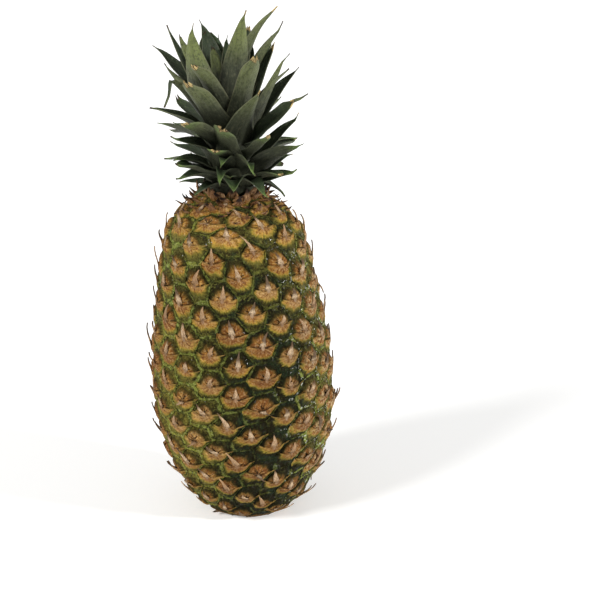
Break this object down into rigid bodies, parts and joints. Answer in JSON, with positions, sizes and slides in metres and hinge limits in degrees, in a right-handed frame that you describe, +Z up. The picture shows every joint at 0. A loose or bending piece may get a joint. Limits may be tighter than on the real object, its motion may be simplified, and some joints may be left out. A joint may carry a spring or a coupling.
{
  "type": "whole pineapple",
  "caption": "Ripe whole pineapple standing upright on its cut base, with spiral rows of raised eyes, small pointed bracts and a full leafy crown.",
  "frame": {"origin": "middle of the flat resting face, on the cut stalk", "axes": "+Z up through the fruit towards the crown, -Y towards the shown front, +X to the right seen from the front"},
  "size_m": [0.1231, 0.124, 0.3109],
  "materials": {
    "rind": "orange-brown and green pineapple rind, satin, with dark grooves between the eyes",
    "cut_stalk": "dry fibrous cut stalk, matt",
    "crown_leaf": "dark green waxy leaf with a grey bloom and dry brown tips, satin"
  },
  "bodies": {
    "root": {"fruit": "rind", "stem": "cut_stalk", "crown": "crown_leaf"}
  },
  "joints": []
}
